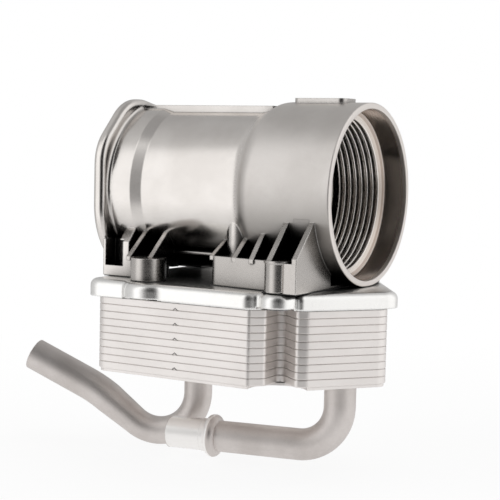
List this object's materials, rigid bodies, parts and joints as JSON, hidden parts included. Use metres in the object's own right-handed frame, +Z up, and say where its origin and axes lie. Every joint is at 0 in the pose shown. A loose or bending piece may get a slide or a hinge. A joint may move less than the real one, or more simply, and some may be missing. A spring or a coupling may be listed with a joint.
{
  "type": "oil filter housing with oil cooler",
  "caption": "Tubular filter housing with an open threaded cup, on a stacked-plate cooler with an overhanging mounting plate and two bent coolant pipes below.",
  "frame": {"origin": "centre of the open rim plane, on the axis of the filter bore", "axes": "+X along the bore axis and out of its open end, +Z up, with the plate stack and the pipes below"},
  "size_m": [0.2153, 0.115, 0.187],
  "materials": {
    "casting": "satin cast",
    "plates": "matt brazed",
    "pipes": "satin drawn",
    "seal": "matt",
    "screws": "dark zinc"
  },
  "bodies": {
    "root": {"filter_housing": "casting", "base_gasket": "seal", "foot_gasket": "seal", "top_plate": "plates", "cooler_bottom_plate": "plates", "cooler_plate_01": "plates", "cooler_plate_02": "plates", "cooler_plate_03": "plates", "cooler_plate_04": "plates", "cooler_plate_05": "plates", "cooler_plate_06": "plates", "cooler_plate_07": "plates", "cooler_plate_08": "plates", "cooler_plate_09": "plates", "cooler_plate_10": "plates", "fin_sheet_01": "plates", "fin_sheet_02": "plates", "fin_sheet_03": "plates", "fin_sheet_04": "plates", "fin_sheet_05": "plates", "fin_sheet_06": "plates", "fin_sheet_07": "plates", "fin_sheet_08": "plates", "fin_sheet_09": "plates", "fin_sheet_10": "plates", "coolant_outlet_pipe": "pipes", "coolant_inlet_pipe": "pipes", "plate_screws": "screws"}
  },
  "joints": []
}
